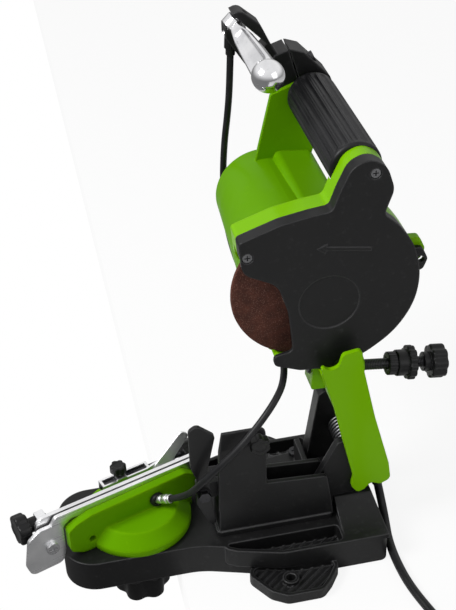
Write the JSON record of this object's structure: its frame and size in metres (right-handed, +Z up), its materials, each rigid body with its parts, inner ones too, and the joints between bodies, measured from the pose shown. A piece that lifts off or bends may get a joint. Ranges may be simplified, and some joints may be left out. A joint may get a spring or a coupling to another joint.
{
  "type": "electric chainsaw sharpener",
  "caption": "Bench chainsaw sharpener: swinging motor head with grinding disc and guard, turning chain vice with cable clamp, depth screw and handle.",
  "frame": {"origin": "midway between the two bench bolt holes, on the underside of the base", "axes": "+Z up; +X to the rear, from the vice towards the hinge; +Y across the machine, away from the operator's view of the guard; Y = 0 is the plane of the grinding wheel"},
  "size_m": [0.3997, 0.3863, 0.4021],
  "materials": {
    "base": "moulded, fine satin grain",
    "hinge_bracket": "moulded, fine satin grain",
    "bracket_bolts": "plated or machined steel",
    "stop_plate": "black powder coat",
    "stop_plate_bolt": "plated or machined steel",
    "hinge_pin": "plated or machined steel",
    "torsion_spring": "plated or machined steel",
    "tower_knob": "moulded, fine satin grain",
    "vice_body": "moulded green plastic, satin",
    "turntable_stud": "plated or machined steel",
    "rail_near_plate": "zinc-plated sheet steel",
    "rail_far_plate": "zinc-plated sheet steel",
    "rail_screws": "plated or machined steel",
    "end_knob": "moulded, fine satin grain",
    "cable_ferrule": "plated or machined steel",
    "clamp_lever": "plated or machined steel",
    "clamp_pin": "plated or machined steel",
    "stop_bracket": "zinc-plated sheet steel",
    "feed_screw": "black moulding",
    "feed_bearing": "zinc-plated sheet steel",
    "chain_pawl": "zinc-plated sheet steel",
    "pawl_pin": "plated or machined steel",
    "slide_knob": "moulded, fine satin grain",
    "lock_knob": "moulded, fine satin grain",
    "wheel_guard": "moulded, fine satin grain",
    "guard_screws": "plated or machined steel",
    "head_casting": "green painted casting, satin",
    "motor_housing": "moulded green plastic, satin",
    "motor_screws": "plated or machined steel",
    "stator": "laminated steel with copper windings",
    "armature": "laminated steel with copper windings",
    "commutator": "copper segments",
    "brush_holders": "brass boxes with carbon brushes",
    "cooling_fan": "black moulding",
    "bearings": "plated or machined steel",
    "motor_shaft": "plated or machined steel",
    "grinding_wheel": "red-brown bonded abrasive grit",
    "inner_flange": "plated or machined steel",
    "outer_flange": "plated or machined steel",
    "wheel_nut": "plated or machined steel",
    "handle_tube": "plated or machined steel",
    "handle_grip": "fluted black rubber",
    "lever_bracket": "moulded, fine satin grain",
    "clamp_half": "moulded, fine satin grain",
    "clamp_screw": "plated or machined steel",
    "lever_pin": "plated or machined steel",
    "cable_adjuster": "knurled black barrel",
    "brake_lever": "polished cast aluminium",
    "switch_body": "black moulding",
    "switch_rocker": "black moulding",
    "cord_gland": "black moulding",
    "depth_screw": "black moulding",
    "lock_ring": "black moulding",
    "stop_nut": "black moulding",
    "brake_cable": "black sheath",
    "power_cord": "black sheath",
    "cord_coil": "black sheath",
    "plug": "black sheath"
  },
  "bodies": {
    "base": {"base": "base", "hinge_bracket": "hinge_bracket", "bracket_bolts": "bracket_bolts", "stop_plate": "stop_plate", "stop_plate_bolt": "stop_plate_bolt", "hinge_pin": "hinge_pin", "torsion_spring": "torsion_spring", "brake_cable": "brake_cable", "power_cord": "power_cord", "cord_coil": "cord_coil", "plug": "plug"},
    "tower_knob": {"tower_knob": "tower_knob"},
    "vice": {"vice_body": "vice_body", "turntable_stud": "turntable_stud", "rail_near_plate": "rail_near_plate", "rail_screws": "rail_screws", "cable_ferrule": "cable_ferrule", "clamp_pin": "clamp_pin", "feed_bearing": "feed_bearing"},
    "jaw": {"rail_far_plate": "rail_far_plate"},
    "clamp_rocker": {"clamp_lever": "clamp_lever"},
    "stop_slide": {"stop_bracket": "stop_bracket", "pawl_pin": "pawl_pin", "slide_knob": "slide_knob"},
    "feed": {"feed_screw": "feed_screw"},
    "pawl": {"chain_pawl": "chain_pawl"},
    "end_knob": {"end_knob": "end_knob"},
    "lock_knob": {"lock_knob": "lock_knob"},
    "head": {"head_casting": "head_casting", "wheel_guard": "wheel_guard", "guard_screws": "guard_screws", "motor_housing": "motor_housing", "motor_screws": "motor_screws", "stator": "stator", "brush_holders": "brush_holders", "bearings": "bearings", "handle_tube": "handle_tube", "handle_grip": "handle_grip", "lever_bracket": "lever_bracket", "clamp_half": "clamp_half", "clamp_screw": "clamp_screw", "lever_pin": "lever_pin", "cable_adjuster": "cable_adjuster", "switch_body": "switch_body", "cord_gland": "cord_gland"},
    "spindle": {"motor_shaft": "motor_shaft", "armature": "armature", "commutator": "commutator", "cooling_fan": "cooling_fan", "grinding_wheel": "grinding_wheel", "inner_flange": "inner_flange", "outer_flange": "outer_flange", "wheel_nut": "wheel_nut"},
    "lever": {"brake_lever": "brake_lever"},
    "depth_screw": {"depth_screw": "depth_screw"},
    "lock_ring": {"lock_ring": "lock_ring", "stop_nut": "stop_nut"},
    "rocker": {"switch_rocker": "switch_rocker"}
  },
  "joints": [
    {"name": "vice_turn", "type": "hinge", "parent": "base", "child": "vice", "pos_m": [-0.1, 0, 0.0255], "axis": [0, 0, 1], "range_deg": [0, 100], "deforming": ["brake_cable"]},
    {"name": "head_swing", "type": "hinge", "parent": "base", "child": "head", "pos_m": [0.06, 0, 0.071], "axis": [0, -1, 0], "range_deg": [0, 58.5], "stiffness_Nm_per_rad": 3, "springref_deg": -34.38, "deforming": ["torsion_spring", "power_cord"]},
    {"name": "spindle_turn", "type": "hinge", "parent": "head", "child": "spindle", "pos_m": [0.0305, 0, 0.21], "axis": [0, 1, 0], "continuous": true},
    {"name": "lever_pull", "type": "hinge", "parent": "head", "child": "lever", "pos_m": [0.0115, 0.1275, 0.3495], "axis": [0.7071, 0, 0.7071], "range_deg": [0, 20], "stiffness_Nm_per_rad": 0.6, "springref_deg": -28.65},
    {"name": "jaw_slide", "type": "slide", "parent": "vice", "child": "jaw", "axis": [0.3256, -0.9455, 0], "range_m": [0, 0.0008]},
    {"name": "clamp_rock", "type": "hinge", "parent": "vice", "child": "clamp_rocker", "pos_m": [-0.08024, 0.01632, 0.0375], "axis": [0.9455, 0.3256, 0], "range_deg": [0, 5.5]},
    {"name": "feed_turn", "type": "hinge", "parent": "vice", "child": "feed", "pos_m": [-0.10993, 0.02884, 0.0395], "axis": [0.9455, 0.3256, 0], "range_deg": [-1440, 1440]},
    {"name": "stop_travel", "type": "slide", "parent": "vice", "child": "stop_slide", "axis": [0.9455, 0.3256, 0], "range_m": [-0.00395, 0.00395]},
    {"name": "pawl_swing", "type": "hinge", "parent": "stop_slide", "child": "pawl", "pos_m": [-0.07602, 0.0348, 0.039], "axis": [0.3256, -0.9455, 0], "range_deg": [0, 125]},
    {"name": "end_knob_turn", "type": "hinge", "parent": "vice", "child": "end_knob", "pos_m": [-0.17482, -0.01307, 0.05], "axis": [-0.9455, -0.3256, 0], "continuous": true},
    {"name": "lock_knob_turn", "type": "hinge", "parent": "vice", "child": "lock_knob", "pos_m": [-0.1, 0, -0.03], "axis": [0, 0, 1], "continuous": true},
    {"name": "tower_knob_turn", "type": "hinge", "parent": "base", "child": "tower_knob", "pos_m": [-0.0145, -0.04, 0.113], "axis": [0, 1, 0], "continuous": true},
    {"name": "depth_screw_turn", "type": "hinge", "parent": "head", "child": "depth_screw", "pos_m": [0.06967, -0.004, 0.13904], "axis": [0.9921, 0, -0.1258], "continuous": true},
    {"name": "lock_ring_turn", "type": "hinge", "parent": "head", "child": "lock_ring", "pos_m": [0.09844, -0.004, 0.13539], "axis": [0.9921, 0, -0.1258], "continuous": true},
    {"name": "switch_rock", "type": "hinge", "parent": "head", "child": "rocker", "pos_m": [0.053, 0.043, 0.135], "axis": [1, 0, 0], "range_deg": [-12, 0]}
  ],
  "couplings": [
    {"joint": "jaw_slide", "follows": "lever_pull", "m_per_rad": 0.002235},
    {"joint": "clamp_rock", "follows": "lever_pull", "ratio": 0.27},
    {"joint": "feed_turn", "follows": "stop_travel", "rad_per_m": 6346.7}
  ]
}
